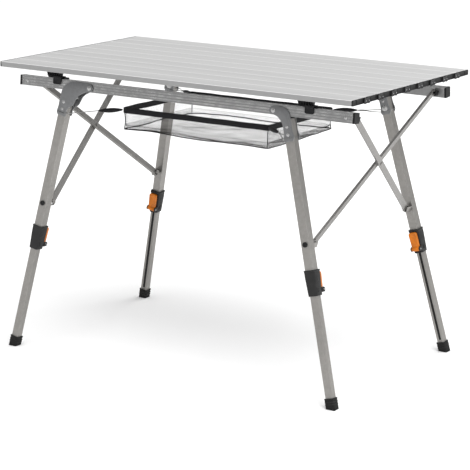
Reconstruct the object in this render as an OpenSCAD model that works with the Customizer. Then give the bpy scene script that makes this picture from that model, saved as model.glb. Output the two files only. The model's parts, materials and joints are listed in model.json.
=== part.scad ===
// Camp kitchen table: a roll-up slatted top on two rails, four folding legs with clamped
// extensions, scissor bars at both ends and a mesh basket hung between the legs.
// Millimetres, +Z up, X along the tabletop, the front towards -Y, feet on Z = 0.

/* [Tabletop] */
// length of the tabletop
table_l = 906; // [720:1200]
// depth of the tabletop
table_w = 530; // [420:660]
// height of the tabletop's upper face
table_h = 655; // [540:800]
// thickness of a slat
slat_t = 12; // [9:18]
// gap between neighbouring slats
slat_gap = 1.2; // [0.8:0.2:3]
// wall of the slat's hollow section
slat_wall = 1.3; // [1:0.1:2.5]
// thickness of the plastic cap on a slat's end
cap_t = 3.2; // [2:0.1:6]
// width of the link that joins two caps
link_w = 24; // [14:30]

/* [Rails] */
// width of a rail's section
rail_w = 20; // [16:28]
// height of a rail's section
rail_h = 22; // [18:30]
// wall of a rail's section
rail_wall = 1.8; // [1.2:0.1:3]
// space between a rail's top and the tabletop's underside
rail_gap = 22; // [18:34]
// width of a clip between the tabletop and a rail
clip_w = 39; // [30:48]
// width of a clip's tongue on the rail's outer face
tongue_w = 22; // [14:30]

/* [Legs] */
// outward lean of a pair of legs from upright
lean = 5; // [0:8]
// splay of the left legs along the table
splay_left = 11.4; // [6:0.1:16]
// splay of the right legs along the table
splay_right = 14.2; // [6:0.1:18]
// distance from the pivot to a left leg's centre line
arm_left = 59; // [50:70]
// distance from the pivot to a right leg's centre line
arm_right = 27; // [24:36]
// outside width of an upper leg tube
upper_w = 20; // [16:26]
// Clearance between lower and upper tube on each side
tube_fit = 0.3; // [0.2:0.05:0.6]
// wall of both leg tubes
tube_wall = 1.4; // [1:0.1:1.5]
// thickness of a leg bracket's plate
plate_t = 2; // [1.5:0.1:3]
// height of a clamp sleeve
clamp_h = 55; // [44:70]
// height of a rubber foot
foot_h = 23; // [16:34]

/* [Scissor bars] */
// width of a scissor bar
bar_w = 13; // [10:18]
// thickness of a scissor bar
bar_t = 6; // [4:8]

/* [Basket] */
// length of the basket's rim
basket_l = 381; // [300:420]
// depth of the basket's rim
basket_w = 280; // [220:320]
// height of the basket
basket_h = 50; // [35:80]
// height of the binding round the rim
binding_h = 10; // [6:16]

/* [Hidden] */
slats = 9;
pitch = (table_w + slat_gap) / slats;
slat_w = pitch - slat_gap;
slat_z = table_h - slat_t;
rail_y = 0.3934 * table_w;
rail_l = 0.93825 * table_l;
rail_cap_t = 5;
pivot_z = slat_z - rail_gap - rail_h / 2 - 3;
pivot_x = 0.26166 * table_l;
rail_lift = 2;
rail_top = rail_lift + rail_h / 2;
gap = 0.3;
plate_in = max(rail_w, upper_w) / 2 + gap;
rivet_r = 3;
run = 0.05;
lower_w = upper_w - 2 * tube_wall - 2 * tube_fit;
leg_span = pivot_z / cos(lean);
clamp_top = -0.56 * leg_span;
clamp_low = clamp_top - clamp_h;
clamp_y = upper_w / 2 + 4;
pin_z = clamp_low + 11;
pin_y = clamp_y + 5.6;
bolt_z = clamp_top + 54;
foot_left = -(leg_span + arm_left * sin(splay_left)) / cos(splay_left);
foot_right = -(leg_span + arm_right * sin(splay_right)) / cos(splay_right);
bar_off = rail_w / 2 + 10;
bar_x = rail_l / 2 - 16;
lug_y = upper_w / 2 + 13.5;
ball_r = 4;
top_eye_r = bar_w / 2 + 1;
low_eye_r = bar_w / 2 + 2.2;
low_hole_r = low_eye_r - 2;
low_play = 3;
bar_skip = bar_t + 1.1;
basket_x = -12.5;
basket_z = pivot_z - 49;
net_t = 1.6;
wall = rail_wall;
ground = 3 * (table_l + table_w);

// ---- placing ----

// a side frame's own space: the pivot line is the X axis and the frame leans outwards
module side_space(front) {
    if (front) {
        translate([0, -rail_y, pivot_z]) rotate([-lean, 0, 0]) children();
    } else {
        mirror([0, 1, 0]) translate([0, -rail_y, pivot_z]) rotate([-lean, 0, 0]) children();
    }
}

// a leg's own space: origin on its pivot, the leg runs down -Z at X = -arm, inwards is +Y
module leg_space(front, left) {
    side_space(front) {
        if (left) {
            translate([-pivot_x, 0, 0]) rotate([0, splay_left, 0]) children();
        } else {
            mirror([1, 0, 0]) translate([-pivot_x, 0, 0]) rotate([0, splay_right, 0]) children();
        }
    }
}

// a point of the front left or front right leg's space, with X measured as on the left
function leg_point(splay, p) =
    let (x = p[0] * cos(splay) + p[2] * sin(splay),
        z = p[2] * cos(splay) - p[0] * sin(splay))
    [x - pivot_x, p[1] * cos(lean) + z * sin(lean) - rail_y, pivot_z + z * cos(lean) - p[1] * sin(lean)];

function arm(left) = left ? arm_left : arm_right;

// the space of a scissor pair's pivots: +Z along the pair's normal towards the table's middle
module pivot_space(left, at) {
    n = bar_side(left);
    s = left ? 1 : -1;
    multmatrix([[n[2], 0, s * n[0], at[0]], [0, 1, 0, at[1]], [-s * n[0], 0, n[2], at[2]], [0, 0, 0, 1]])
        children();
}

module square_tube(w, wall_t, low, high) {
    translate([0, 0, low]) linear_extrude(height = high - low) difference() {
        square(w, center = true);
        square(w - 2 * wall_t, center = true);
    }
}

// a cylinder along Y from y0 to y1
module y_rod(r, y0, y1, at) {
    translate([at[0], y0, at[1]]) rotate([-90, 0, 0]) cylinder(h = y1 - y0, r = r, $fn = 32);
}

// a cylinder along X from x0 to x1
module x_rod(r, x0, x1, at) {
    translate([x0, at[0], at[1]]) rotate([0, 90, 0]) cylinder(h = x1 - x0, r = r, $fn = 32);
}

// ---- tabletop ----

function slat_y(i) = (i - (slats + 1) / 2) * pitch;

module slat(i) {
    cell = (slat_w - 3 * slat_wall) / 2;
    color("silver") translate([0, slat_y(i), slat_z]) difference() {
        translate([-table_l / 2 + 2 * cap_t, -slat_w / 2, 0])
            cube([table_l - 4 * cap_t, slat_w, slat_t]);
        for (s = [-1, 1])
            translate([-table_l / 2, s * (cell + slat_wall) / 2 - cell / 2, slat_wall])
                cube([table_l, cell, slat_t - 2 * slat_wall]);
    }
}

// the two end caps of a slat: a face plate, two plugs in the slat's hollows, and on every slat
// but the last the link that reaches over the joint to the next slat
module slat_caps(i) {
    cell = (slat_w - 3 * slat_wall) / 2;
    color([0.1, 0.1, 0.1]) translate([0, slat_y(i), slat_z]) for (s = [-1, 1]) mirror([(1 - s) / 2, 0, 0]) {
        translate([table_l / 2 - 2 * cap_t + 0.05, -slat_w / 2, 0]) cube([cap_t - 0.05, slat_w, slat_t]);
        for (t = [-1, 1])
            translate([table_l / 2 - 2 * cap_t - 14, t * (cell + slat_wall) / 2 - cell / 2 + 0.2,
                slat_wall + 0.2])
                cube([14.1, cell - 0.4, slat_t - 2 * slat_wall - 0.4]);
        if (i < slats) {
            translate([table_l / 2 - cap_t + gap, pitch / 2 - link_w / 2, 0.6])
                cube([cap_t - gap - 0.8, link_w, slat_t - 2.4]);
            translate([0, pitch / 2 - link_w / 2, 1.6]) translate([table_l / 2 - cap_t - 1, 0, 0])
                cube([2, link_w / 2 - slat_gap, slat_t - 4.4]);
            for (t = [-1, 1])
                x_rod(1.7, table_l / 2 - 1, table_l / 2, [pitch / 2 + t * 0.27 * link_w, slat_t / 2 - 0.6]);
        }
    }
}

// ---- rails ----

module rail_shape() {
    difference() {
        square([rail_w, rail_h], center = true);
        square([rail_w - 2 * wall, rail_h - 2 * wall], center = true);
        for (z = [-0.27, 0, 0.27])
            translate([-rail_w / 2, z * rail_h]) square([1.4, 1.8], center = true);
    }
}

module rail(front) {
    color("silver") side_space(front) difference() {
        translate([-rail_l / 2, 0, rail_lift]) rotate([90, 0, 90])
            linear_extrude(height = rail_l) rail_shape();
        for (s = [-1, 1])
            y_rod(rivet_r + run, -rail_w, rail_w, [s * pivot_x, 0]);
    }
}

// the end caps of a rail and the lugs with a ball that carry the scissor bars' tops
module rail_caps(front) {
    color([0.1, 0.1, 0.1]) side_space(front) for (s = [-1, 1]) mirror([(1 - s) / 2, 0, 0]) {
        translate([rail_l / 2 + 0.05, -rail_w / 2 - 0.2, rail_lift - rail_h / 2 - 0.2])
            cube([rail_cap_t, rail_w + 0.4, rail_h + 0.4]);
        translate([rail_l / 2 - 12, -rail_w / 2 + wall + 0.2, rail_lift - rail_h / 2 + wall + 0.2])
            cube([12.2, rail_w - 2 * wall - 0.4, rail_h - 2 * wall - 0.4]);
    }
    color([0.1, 0.1, 0.1]) for (left = [true, false]) difference() {
        pivot_space(left, bar_top(front, left)) {
            sphere(r = ball_r, $fn = 32);
            translate([0, 0, -bar_t / 2 - 4]) cylinder(h = bar_t / 2 + 4, r = 1.5, $fn = 24);
            translate([-5.5, front ? -rail_w : -4, -bar_t / 2 - 6]) cube([11, rail_w + 4, 2.4]);
        }
        side_space(front) translate([-table_l, -2 * rail_w, -table_h / 2])
            cube([2 * table_l, 2.5 * rail_w + 0.05, table_h]);
    }
}

// the two clips of a rail: a pad under the tabletop, a saddle on the rail and a tongue outside it
module clips(front) {
    color([0.08, 0.08, 0.08]) difference() {
        side_space(front) for (x = [-0.3675 * table_l, 0.3487 * table_l]) translate([x, 0, 0]) {
            translate([-27, -rail_w / 2 - 1, rail_top + gap + 8]) cube([clip_w, rail_w - 2, rail_gap]);
            translate([-3.5, -rail_w / 2 - gap - 2.5, rail_top + gap]) cube([tongue_w, rail_w - 2, 9]);
            translate([-3.5, -rail_w / 2 - gap - 2.5, rail_lift - 1])
                cube([tongue_w, 2.5, rail_h / 2 + 4]);
            translate([tongue_w - 6, -rail_w / 2 + 3, rail_top + gap + 3]) cube([17, 8, 3.5]);
        }
        translate([-ground, -ground, slat_z - gap]) cube(2 * ground);
    }
}

// ---- legs ----

// outline of a left leg's plate: an arm from the pivot that broadens into a wide body
module plate_left() {
    a = arm_left;
    difference() {
        union() {
            circle(r = 9.5, $fn = 32);
            polygon([[0, 9.5], [-a + 5, -2], [-a - 6, -14], [-a - 12, -25], [-a - 12, -79],
                [-a + 12, -79], [-a + 12.4, -60], [-a + 25, -52], [-a + 27.5, -45],
                [-a + 29.5, -34], [-a + 34, -26], [-2, -9.3]]);
            translate([-a, -14]) circle(r = 12, $fn = 32);
        }
        plate_holes(a);
    }
}

// outline of a right leg's plate: a narrow arm that curves down along the leg
module plate_right() {
    a = arm_right;
    difference() {
        union() {
            circle(r = 9.5, $fn = 32);
            polygon([[1, 9.4], [-a + 6, 3], [-a - 8, -5], [-a - 11, -21], [-a - 10.5, -69],
                [-a + 10.5, -69], [-a + 9.5, -40], [-a + 11, -26], [0, -9.5]]);
        }
        plate_holes(a);
    }
}

module plate_holes(a) {
    circle(r = rivet_r + run, $fn = 32);
    for (z = rivet_rows(a))
        translate([-a, z]) circle(r = 2.3, $fn = 24);
}

function rivet_rows(a) = a > 40 ? [-49, -65] : [-39, -56];

// two steel plates that hold the leg's top and straddle the rail, with their rivets
module bracket(front, left) {
    a = arm(left);
    half = plate_in + plate_t;
    color("gray") leg_space(front, left) {
        for (s = [-1, 1]) translate([0, s * (plate_in + plate_t / 2), 0]) rotate([90, 0, 0])
            linear_extrude(height = plate_t, center = true) {
                if (left) plate_left(); else plate_right();
            }
        y_rod(rivet_r, -half - 0.02, half + 0.02, [0, 0]);
        for (s = [-1, 1]) {
            y_rod(5, s > 0 ? half + 0.02 : -half - 2, s > 0 ? half + 2 : -half - 0.02, [0, 0]);
            for (z = rivet_rows(a))
                y_rod(4, s > 0 ? half + 0.02 : -half - 1.6, s > 0 ? half + 1.6 : -half - 0.02, [-a, z]);
        }
        for (z = rivet_rows(a))
            y_rod(2.25, -half - 0.02, half + 0.02, [-a, z]);
        if (left)
            y_rod(4, -plate_in + 0.05, plate_in - 0.05, [-a + 22, -33]);
    }
}

// the upper tube, the plug on its outer face, and on its inner face the lug and loose pin of a
// scissor bar's lower end
module upper_tube(front, left) {
    a = arm(left);
    top = left ? -27 : -23;
    low = bar_t / 2 + low_play;
    at = leg_point(left ? splay_left : splay_right, [-a, lug_y, bolt_z]);
    color([0.63, 0.61, 0.59]) {
        leg_space(front, left) {
            difference() {
                translate([-a, 0, 0]) square_tube(upper_w, tube_wall, clamp_top - 0.6 * clamp_h, top);
                for (z = rivet_rows(a))
                    y_rod(2.35, -upper_w, upper_w, [-a, z]);
            }
            y_rod(5, -upper_w / 2 - 2, -upper_w / 2 - 0.05, [-a, bolt_z]);
        }
        difference() {
            pivot_space(left, [(left ? 1 : -1) * at[0], (front ? 1 : -1) * at[1], at[2]]) {
                translate([-6, front ? -20 : -5, -low - 2.5]) cube([12, 25, 2.5]);
                translate([0, 0, -low - 1]) cylinder(h = 2 * low + 1.5, r = 2.2, $fn = 24);
                translate([0, 0, low]) cylinder(h = 1.6, r = 5, $fn = 32);
            }
            leg_space(front, left) translate([-2 * arm_left, -2 * upper_w, 2 * clamp_top])
                cube([4 * arm_left, 2.5 * upper_w + 0.05, -3 * clamp_top]);
        }
    }
}

// the sleeve that clamps the two tubes together, with ears and a pin for the lever
module clamp(front, left) {
    color([0.1, 0.1, 0.1]) leg_space(front, left) translate([-arm(left), 0, 0]) {
        difference() {
            union() {
                translate([0, clamp_y, 0]) rotate([90, 0, 0])
                    linear_extrude(height = 2 * clamp_y - 1.5)
                    polygon([[-12.7, clamp_top], [12.7, clamp_top], [12.7, clamp_top - 14],
                        [11, clamp_low], [-11, clamp_low], [-12.7, clamp_top - 14]]);
                for (s = [-1, 1]) translate([s * 10.8, 0, 0]) {
                    x_rod(5.4, -1.3, 1.3, [pin_y, pin_z]);
                    translate([-1.3, clamp_y - 2, pin_z - 5.4]) cube([2.6, pin_y - clamp_y + 2, 10.8]);
                }
                translate([-6, clamp_y - 1, clamp_low]) cube([12, 4, 4.5]);
            }
            translate([0, 0, clamp_top - 0.6 * clamp_h - 0.3]) linear_extrude(height = clamp_h)
                square(upper_w + 2 * gap, center = true);
            translate([0, 0, clamp_low - 1]) linear_extrude(height = clamp_h)
                square(lower_w + 2 * gap, center = true);
            x_rod(2.02, -20, 20, [pin_y, pin_z]);
        }
        x_rod(2, -12.6, 12.6, [pin_y, pin_z]);
    }
}

// the flip lever: a hub on the pin and a plate that lies against the sleeve
module lever(front, left) {
    color([0.85, 0.46, 0.05]) leg_space(front, left) translate([-arm(left), 0, 0]) difference() {
        union() {
            x_rod(5, -9.2, 9.2, [pin_y, pin_z]);
            translate([-9.2, clamp_y + 0.8, pin_z]) cube([18.4, 6, clamp_h - 16]);
            translate([-9.2, clamp_y + 1.6, pin_z + clamp_h - 22]) cube([18.4, 8, 6]);
        }
        x_rod(2.07, -20, 20, [pin_y, pin_z]);
    }
}

// the lower tube, with a groove along its inward face
module lower_tube(front, left) {
    foot_z = left ? foot_left : foot_right;
    color([0.63, 0.61, 0.59]) leg_space(front, left) translate([-arm(left), 0, 0]) difference() {
        square_tube(lower_w, tube_wall + 1.2, foot_z + 8, bolt_z - 14);
        translate([-3, lower_w / 2 - 1.6, foot_z]) cube([6, 3, -foot_z]);
    }
}

module strip(front, left) {
    foot_z = left ? foot_left : foot_right;
    color([0.08, 0.08, 0.08]) leg_space(front, left) translate([-arm(left), 0, 0])
        translate([-2.5, lower_w / 2 - 1.5, foot_z + foot_h + 6])
            cube([5, 0.8, bolt_z - 30 - foot_z - foot_h]);
}

// a rubber foot, cut level with the ground
module foot(front, left) {
    foot_z = left ? foot_left : foot_right;
    color([0.07, 0.07, 0.07]) difference() {
        leg_space(front, left) translate([-arm(left), 0, 0]) difference() {
            translate([0, 0, foot_z - 8]) linear_extrude(height = foot_h + 8) square(lower_w + 4.6, center = true);
            translate([0, 0, foot_z + 7.8]) linear_extrude(height = foot_h)
                square(lower_w + 0.1, center = true);
        }
        translate([-ground, -ground, -2 * ground]) cube(2 * ground);
    }
}

// ---- scissor bars ----

// unit vector down the front bar of a pair, as it is at the left end
function bar_dir(left) =
    let (q = leg_point(left ? splay_left : splay_right, [-arm(left), lug_y, bolt_z]),
        d = [q[0] + bar_x, -q[1] + rail_y - bar_off, q[2] - pivot_z])
    d / norm(d);

// unit vector square to both bars of a pair, as it is at the left end, towards the table's middle
function bar_side(left) = let (d = bar_dir(left)) [-d[2], 0, d[0]] / norm([d[2], 0, d[0]]);

// the centre of the ball that holds a bar's top end
function bar_top(front, left) =
    let (n = bar_side(left), h = (front == left ? 1 : -1) * bar_skip, s = left ? 1 : -1)
    [s * (-bar_x + n[0] * h), (front ? -1 : 1) * (rail_y - bar_off), pivot_z + n[2] * h];

// a flat bar from one rail down to the opposite leg, with a ring at each end
module bar(front, left) {
    q = leg_point(left ? splay_left : splay_right, [-arm(left), lug_y, bolt_z]);
    s = left ? 1 : -1;
    y = front ? 1 : -1;
    top = bar_top(front, left);
    low = [s * q[0], -y * q[1], q[2]];
    d = low - top;
    len = norm(d);
    u = d / len;
    side = let (n = bar_side(left)) [s * n[0], 0, n[2]];
    w = cross(side, u) / norm(cross(side, u));
    n = cross(u, w);
    color("silver") multmatrix([[u[0], w[0], n[0], top[0]], [u[1], w[1], n[1], top[1]],
        [u[2], w[2], n[2], top[2]], [0, 0, 0, 1]]) {
        difference() {
            union() {
                translate([top_eye_r - 1, -bar_w / 2, -bar_t / 2])
                    cube([len - top_eye_r - low_eye_r + 2, bar_w, bar_t]);
                translate([0, 0, -bar_t / 2]) cylinder(h = bar_t, r = top_eye_r, $fn = 32);
                translate([len, 0, -bar_t / 2]) cylinder(h = bar_t, r = low_eye_r, $fn = 32);
            }
            sphere(r = ball_r + 0.4, $fn = 32);
            translate([len, 0, -bar_t]) cylinder(h = 2 * bar_t, r = low_hole_r, $fn = 32);
        }
        translate([(rail_y - bar_off) / abs(u[1]), 0, front == left ? bar_t / 2 - 0.2 : -bar_t / 2 - 1.6])
            cylinder(h = 1.8, r = 4.5, $fn = 32);
    }
}

// ---- basket ----

module basket_ring(grow, low, high) {
    translate([basket_x, 0, low]) linear_extrude(height = high - low) difference() {
        square([basket_l + 2 * grow, basket_w + 2 * grow], center = true);
        square([basket_l - 2 * net_t, basket_w - 2 * net_t], center = true);
    }
}

// the net: four thin walls and a floor
module basket_net() {
    low = basket_z - basket_h;
    color([0.3, 0.3, 0.3, 0.6]) {
        basket_ring(0, low, basket_z - binding_h - 0.1);
        translate([basket_x - basket_l / 2, -basket_w / 2, low - net_t]) cube([basket_l, basket_w, net_t]);
    }
}

module basket_binding() {
    color([0.05, 0.05, 0.05]) basket_ring(0.8, basket_z - binding_h, basket_z);
}

// a strap runs from a corner of the basket towards a leg, and a wire goes on round the bracket
function corner(left) = [basket_x + (left ? -1 : 1) * basket_l / 2, -basket_w / 2, basket_z - binding_h / 2];
function hook_z(left) = left ? -73 : -63;
function hook_at(left) =
    let (p = leg_point(left ? splay_left : splay_right, [-arm(left), 0, hook_z(left)]))
    [(left ? 1 : -1) * p[0], p[1], p[2]];

// places a strap's or wire's own space: +Z from the basket's corner to the leg
module toward_leg(left, from) {
    d = hook_at(left) - corner(left);
    translate(corner(left) + d / norm(d) * from)
        rotate([0, acos(d[2] / norm(d)), atan2(d[1], d[0])]) children();
}

module strap_piece(left) {
    toward_leg(left, 4) {
        cylinder(h = 26, r1 = 2.6, r2 = 5.2, $fn = 32);
        translate([0, 0, 26]) cylinder(h = 28, r1 = 5.2, r2 = 2, $fn = 32);
    }
}

module hook_piece(left) {
    reach = norm(hook_at(left) - corner(left)) - 20;
    toward_leg(left, 58.5) cylinder(h = reach - 58.5, r = 1.1, $fn = 24);
    leg_space(true, left) translate([-arm(left), 0, hook_z(left)])
        rotate_extrude($fn = 48) translate([20, 0]) circle(r = 1.1, $fn = 24);
}

module basket_straps() {
    color([0.06, 0.06, 0.06]) for (left = [true, false]) {
        strap_piece(left);
        mirror([0, 1, 0]) strap_piece(left);
    }
}

module basket_hooks() {
    color("silver") for (left = [true, false]) {
        hook_piece(left);
        mirror([0, 1, 0]) hook_piece(left);
    }
}

slat(1);  // slat_1
slat(2);  // slat_2
slat(3);  // slat_3
slat(4);  // slat_4
slat(5);  // slat_5
slat(6);  // slat_6
slat(7);  // slat_7
slat(8);  // slat_8
slat(9);  // slat_9
slat_caps(1);  // slat_caps_1
slat_caps(2);  // slat_caps_2
slat_caps(3);  // slat_caps_3
slat_caps(4);  // slat_caps_4
slat_caps(5);  // slat_caps_5
slat_caps(6);  // slat_caps_6
slat_caps(7);  // slat_caps_7
slat_caps(8);  // slat_caps_8
slat_caps(9);  // slat_caps_9
rail(true);  // rail_front
rail(false);  // rail_rear
rail_caps(true);  // rail_caps_front
rail_caps(false);  // rail_caps_rear
clips(true);  // clips_front
clips(false);  // clips_rear
bracket(true, true);  // bracket_front_left
bracket(true, false);  // bracket_front_right
bracket(false, true);  // bracket_rear_left
bracket(false, false);  // bracket_rear_right
upper_tube(true, true);  // upper_tube_front_left
upper_tube(true, false);  // upper_tube_front_right
upper_tube(false, true);  // upper_tube_rear_left
upper_tube(false, false);  // upper_tube_rear_right
clamp(true, true);  // clamp_front_left
clamp(true, false);  // clamp_front_right
clamp(false, true);  // clamp_rear_left
clamp(false, false);  // clamp_rear_right
lever(true, true);  // lever_front_left
lever(true, false);  // lever_front_right
lever(false, true);  // lever_rear_left
lever(false, false);  // lever_rear_right
lower_tube(true, true);  // lower_tube_front_left
lower_tube(true, false);  // lower_tube_front_right
lower_tube(false, true);  // lower_tube_rear_left
lower_tube(false, false);  // lower_tube_rear_right
strip(true, true);  // strip_front_left
strip(true, false);  // strip_front_right
strip(false, true);  // strip_rear_left
strip(false, false);  // strip_rear_right
foot(true, true);  // foot_front_left
foot(true, false);  // foot_front_right
foot(false, true);  // foot_rear_left
foot(false, false);  // foot_rear_right
bar(true, true);  // bar_front_left
bar(true, false);  // bar_front_right
bar(false, true);  // bar_rear_left
bar(false, false);  // bar_rear_right
basket_net();
basket_binding();
basket_straps();
basket_hooks();
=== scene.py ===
import json
import math

import bpy
from mathutils import Matrix, Quaternion, Vector, noise


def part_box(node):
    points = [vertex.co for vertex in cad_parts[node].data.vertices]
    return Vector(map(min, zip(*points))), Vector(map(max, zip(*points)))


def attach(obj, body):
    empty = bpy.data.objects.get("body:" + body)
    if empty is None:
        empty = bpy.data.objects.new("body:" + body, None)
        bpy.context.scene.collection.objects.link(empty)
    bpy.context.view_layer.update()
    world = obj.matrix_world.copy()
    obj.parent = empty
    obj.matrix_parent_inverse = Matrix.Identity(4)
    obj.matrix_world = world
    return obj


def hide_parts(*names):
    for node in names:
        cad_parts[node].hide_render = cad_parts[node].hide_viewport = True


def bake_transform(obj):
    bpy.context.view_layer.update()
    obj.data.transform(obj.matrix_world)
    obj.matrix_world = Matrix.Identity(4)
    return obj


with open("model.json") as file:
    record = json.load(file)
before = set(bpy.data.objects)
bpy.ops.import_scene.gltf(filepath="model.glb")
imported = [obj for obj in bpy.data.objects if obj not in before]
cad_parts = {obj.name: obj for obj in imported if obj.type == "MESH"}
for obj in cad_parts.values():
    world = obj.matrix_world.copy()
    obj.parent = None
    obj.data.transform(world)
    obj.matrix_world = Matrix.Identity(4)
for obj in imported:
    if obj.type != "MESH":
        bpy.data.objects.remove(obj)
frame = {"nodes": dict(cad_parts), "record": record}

print("frame loaded with", len(frame["nodes"]), "nodes")
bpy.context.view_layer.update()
cadNodes = frame["nodes"]
joints = {joint["name"]: joint for joint in frame["record"]["behaviour"]["joints"]}
legKeys = ["front_left", "front_right", "rear_left", "rear_right"]
mm = 0.001


# ---- camera, floor and light ----

cameraPlace = {"target": (0.0098, 0, 0.2677), "azimuth": 31.99, "elevation": 13.18, "distance": 4.6468,
               "roll": 0.80, "lens": 156.8}


def setCamera():
    turn, rise = math.radians(cameraPlace["azimuth"]), math.radians(cameraPlace["elevation"])
    back = Vector((math.sin(turn) * math.cos(rise), -math.cos(turn) * math.cos(rise), math.sin(rise)))
    bpy.ops.object.camera_add(location=Vector(cameraPlace["target"]) + back * cameraPlace["distance"])
    camera = bpy.context.object
    level = (-back).to_track_quat("-Z", "Y")
    camera.rotation_euler = (level @ Quaternion((0, 0, 1), math.radians(cameraPlace["roll"]))).to_euler()
    camera.data.lens = cameraPlace["lens"]
    camera.data.sensor_width = 36
    camera.data.clip_end = 60
    bpy.context.scene.camera = camera


studio = {"floorColor": (0.93, 0.93, 0.93), "floorSize": 40, "skyStrength": 0.64,
          "sun": {"strength": 1.75, "tilt": (0.25, 0.34, 0), "softness": 0.9},
          "key": {"place": (3.4, -2.6, 3.0), "size": 2.6, "power": 58},
          "fill": {"place": (-3.6, -2.4, 1.8), "size": 2.4, "power": 6},
          "rim": {"place": (0.6, 3.4, 2.6), "size": 2.4, "power": 60}}


def setStudio():
    bpy.ops.mesh.primitive_plane_add(size=studio["floorSize"], location=(0, 0, -0.0005))
    floor = bpy.context.object
    floor.name = "floor"
    paint = bpy.data.materials.new("floorPaint")
    paint.use_nodes = True
    shader = paint.node_tree.nodes["Principled BSDF"]
    shader.inputs["Base Color"].default_value = (*studio["floorColor"], 1)
    shader.inputs["Roughness"].default_value = 0.9
    floor.data.materials.append(paint)
    for name in ("key", "fill", "rim"):
        lamp = studio[name]
        bpy.ops.object.light_add(type="AREA", location=lamp["place"])
        light = bpy.context.object
        light.name = name + "Light"
        light.data.size = lamp["size"]
        light.data.energy = lamp["power"]
        light.rotation_euler = (Vector((0, 0, 0.4)) - light.location).to_track_quat("-Z", "Y").to_euler()
    bpy.ops.object.light_add(type="SUN", location=(0, 0, 4), rotation=studio["sun"]["tilt"])
    sun = bpy.context.object
    sun.name = "overheadLight"
    sun.data.energy = studio["sun"]["strength"]
    sun.data.angle = studio["sun"]["softness"]
    sky = bpy.data.worlds.new("studioSky")
    sky.use_nodes = True
    sky.node_tree.nodes["Background"].inputs["Color"].default_value = (1, 1, 1, 1)
    sky.node_tree.nodes["Background"].inputs["Strength"].default_value = studio["skyStrength"]
    bpy.context.scene.world = sky
    bpy.context.scene.view_settings.view_transform = "Standard"


setCamera()
setStudio()
print("camera, floor and lights set")


# ---- shader groups shared by the finishes ----

def addNode(tree, kind, **settings):
    node = tree.nodes.new(kind)
    for key, value in settings.items():
        setattr(node, key, value)
    return node


def addMath(tree, operation, first, second=None):
    node = addNode(tree, "ShaderNodeMath", operation=operation)
    for socket, value in zip(node.inputs, (first, second)):
        if value is None:
            continue
        if isinstance(value, (int, float)):
            socket.default_value = value
        else:
            tree.links.new(value, socket)
    return node.outputs[0]


def addRange(tree, value, fromLow, fromHigh, toLow, toHigh):
    node = addNode(tree, "ShaderNodeMapRange")
    tree.links.new(value, node.inputs["Value"])
    for label, number in zip(("From Min", "From Max", "To Min", "To Max"),
                             (fromLow, fromHigh, toLow, toHigh)):
        node.inputs[label].default_value = number
    return node.outputs["Result"]


def addNoise(tree, vector, scale, detail=3.0, roughness=0.55):
    node = addNode(tree, "ShaderNodeTexNoise")
    tree.links.new(vector, node.inputs["Vector"])
    node.inputs["Scale"].default_value = scale
    node.inputs["Detail"].default_value = detail
    node.inputs["Roughness"].default_value = roughness
    return node.outputs["Fac"]


def startGroup(name, inputs, outputs):
    group = bpy.data.node_groups.new(name, "ShaderNodeTree")
    for label, kind, value in inputs:
        socket = group.interface.new_socket(name=label, in_out="INPUT", socket_type=kind)
        if value is not None:
            socket.default_value = value
    for label, kind in outputs:
        group.interface.new_socket(name=label, in_out="OUTPUT", socket_type=kind)
    return group, addNode(group, "NodeGroupInput"), addNode(group, "NodeGroupOutput")


def buildBrushLines():
    # fine drawing lines along X, and a slow cloudiness
    group, enter, leave = startGroup(
        "brushLines",
        [("Vector", "NodeSocketVector", None), ("Fineness", "NodeSocketFloat", 900.0),
         ("Length", "NodeSocketFloat", 6.0)],
        [("Lines", "NodeSocketFloat"), ("Cloud", "NodeSocketFloat")])
    stretch = addNode(group, "ShaderNodeCombineXYZ")
    group.links.new(enter.outputs["Length"], stretch.inputs["X"])
    group.links.new(enter.outputs["Fineness"], stretch.inputs["Y"])
    group.links.new(enter.outputs["Fineness"], stretch.inputs["Z"])
    scaled = addNode(group, "ShaderNodeVectorMath", operation="MULTIPLY")
    group.links.new(enter.outputs["Vector"], scaled.inputs[0])
    group.links.new(stretch.outputs["Vector"], scaled.inputs[1])
    lines = addNoise(group, scaled.outputs["Vector"], 1.0, 4.0, 0.7)
    group.links.new(addRange(group, lines, 0.3, 0.7, 0, 1), leave.inputs["Lines"])
    cloud = addNoise(group, scaled.outputs["Vector"], 0.05, 2.0, 0.5)
    group.links.new(addRange(group, cloud, 0.35, 0.68, 0, 1), leave.inputs["Cloud"])
    return group


def buildEdgeWearAndHighlight():
    # bright along edges, broken up by noise: edge wear, and on the slats and rails a painted highlight
    group, enter, leave = startGroup(
        "edgeWearAndHighlight",
        [("Vector", "NodeSocketVector", None), ("Radius", "NodeSocketFloat", 0.0012)],
        [("Mask", "NodeSocketFloat")])
    rounded = addNode(group, "ShaderNodeBevel", samples=4)
    group.links.new(enter.outputs["Radius"], rounded.inputs["Radius"])
    true = addNode(group, "ShaderNodeNewGeometry")
    facing = addNode(group, "ShaderNodeVectorMath", operation="DOT_PRODUCT")
    group.links.new(rounded.outputs["Normal"], facing.inputs[0])
    group.links.new(true.outputs["Normal"], facing.inputs[1])
    edge = addRange(group, facing.outputs["Value"], 0.985, 0.8, 0, 1)
    patches = addRange(group, addNoise(group, enter.outputs["Vector"], 60.0, 4.0, 0.65), 0.4, 0.62, 0.15,
                       1)
    group.links.new(addMath(group, "MULTIPLY", edge, patches), leave.inputs["Mask"])
    return group


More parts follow.
